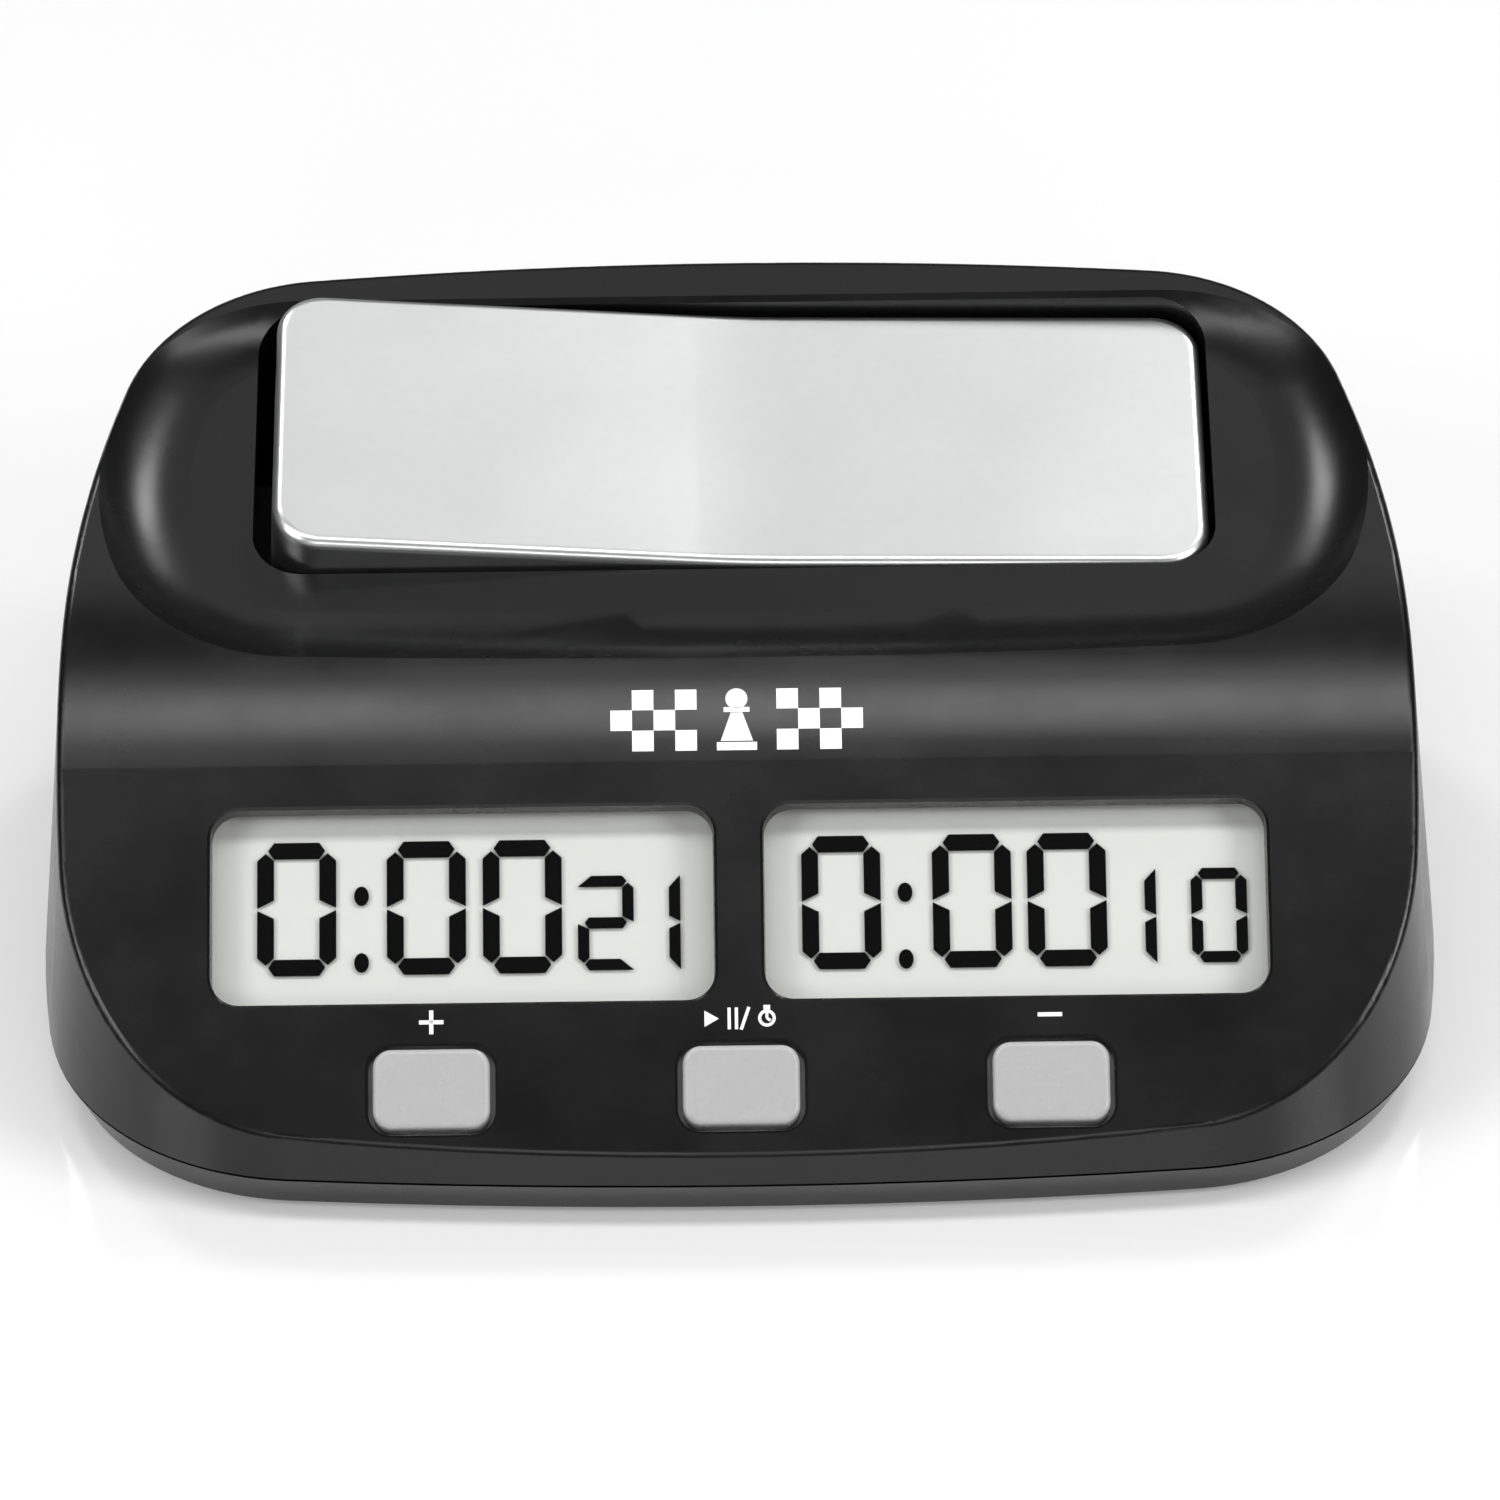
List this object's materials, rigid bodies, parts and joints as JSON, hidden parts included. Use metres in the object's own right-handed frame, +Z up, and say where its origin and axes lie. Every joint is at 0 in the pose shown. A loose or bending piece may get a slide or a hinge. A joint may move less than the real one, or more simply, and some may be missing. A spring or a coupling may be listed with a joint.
{
  "type": "digital chess clock",
  "caption": "Compact digital chess clock with a black sloping desk case, two readouts, a row of keys and a silver see-saw bar that each player presses in turn.",
  "frame": {"origin": "centre of the bounding box in plan, at the underside of the rubber feet", "axes": "+X to the player's right along the width, -Y towards the front panel, +Z up"},
  "size_m": [0.135, 0.096, 0.048],
  "materials": {
    "case_black": "fine moulded texture, semi-gloss",
    "bar_silver": "satin plated",
    "key_grey": "smooth moulded",
    "clear_window": "polished clear",
    "lcd_glass": "polished clear",
    "lcd_reflector": "silver-grey film",
    "frame_white": "moulded",
    "board_green": "solder mask",
    "steel": "zinc plated",
    "spring_steel": "nickel plated",
    "inner_black": "moulded",
    "rubber_black": "matt",
    "zebra_rubber": "matt",
    "switch_black": "moulded",
    "plunger_grey": "moulded",
    "chip_epoxy": "potting drop",
    "crystal_can": "drawn can",
    "capacitor_tan": "fired",
    "buzzer_black": "moulded",
    "cell_jacket": "printed sleeve",
    "lead_red": "insulation",
    "lead_black": "insulation",
    "ribbon_grey": "insulation"
  },
  "bodies": {
    "clock": {"battery_cell": "cell_jacket", "battery_lead_black": "lead_black", "battery_lead_red": "lead_red", "battery_plate_contact": "spring_steel", "battery_spring_contact": "spring_steel", "board_screws": "steel", "bottom_shell": "case_black", "bracket_screws": "steel", "buzzer": "buzzer_black", "buzzer_lead_black": "lead_black", "buzzer_lead_red": "lead_red", "capacitors": "capacitor_tan", "case_screws": "steel", "clock_chip": "chip_epoxy", "crystal": "crystal_can", "friction_washers": "spring_steel", "key_switches": "switch_black", "lcd_frame": "frame_white", "lcd_glass_left": "lcd_glass", "lcd_glass_right": "lcd_glass", "lcd_reflector_left": "lcd_reflector", "lcd_reflector_right": "lcd_reflector", "main_board": "board_green", "rocker_board": "board_green", "rocker_board_screws": "steel", "rocker_bracket": "inner_black", "rocker_pin": "steel", "rocker_ribbon": "ribbon_grey", "rocker_switches": "switch_black", "rubber_feet": "rubber_black", "top_shell": "case_black", "window_left": "clear_window", "window_right": "clear_window", "zebra_strips": "zebra_rubber"},
    "see_saw_bar": {"rocker_cap": "bar_silver", "rocker_carrier": "inner_black"},
    "plus_button": {"plus_key": "key_grey", "plus_plunger": "plunger_grey"},
    "play_pause_button": {"play_pause_key": "key_grey", "play_pause_plunger": "plunger_grey"},
    "minus_button": {"minus_key": "key_grey", "minus_plunger": "plunger_grey"},
    "right_plunger": {"rocker_plunger_right": "plunger_grey"},
    "left_plunger": {"rocker_plunger_left": "plunger_grey"},
    "door": {"battery_door": "case_black"}
  },
  "joints": [
    {"name": "bar_rock", "type": "hinge", "parent": "clock", "child": "see_saw_bar", "pos_m": [0, 0.02529, 0.02924], "axis": [0, 0.9744, 0.225], "range_deg": [-6.4, 0]},
    {"name": "plus_press", "type": "slide", "parent": "clock", "child": "plus_button", "axis": [0, 0.6018, -0.7986], "range_m": [0, 0.0005], "stiffness_N_per_m": 1500, "springref_m": -0.0003},
    {"name": "play_pause_press", "type": "slide", "parent": "clock", "child": "play_pause_button", "axis": [0, 0.6018, -0.7986], "range_m": [0, 0.0005], "stiffness_N_per_m": 1500, "springref_m": -0.0003},
    {"name": "minus_press", "type": "slide", "parent": "clock", "child": "minus_button", "axis": [0, 0.6018, -0.7986], "range_m": [0, 0.0005], "stiffness_N_per_m": 1500, "springref_m": -0.0003},
    {"name": "right_plunger_slide", "type": "slide", "parent": "clock", "child": "right_plunger", "axis": [0, -0.225, 0.9744], "range_m": [0, 0.00025]},
    {"name": "left_plunger_slide", "type": "slide", "parent": "clock", "child": "left_plunger", "axis": [0, 0.225, -0.9744], "range_m": [0, 0.00025]},
    {"name": "door_pull", "type": "slide", "parent": "clock", "child": "door", "axis": [0, 0, -1], "range_m": [0, 0.02]}
  ],
  "couplings": [
    {"joint": "right_plunger_slide", "follows": "bar_rock", "m_per_rad": -0.0022381},
    {"joint": "left_plunger_slide", "follows": "bar_rock", "m_per_rad": -0.0022381}
  ]
}
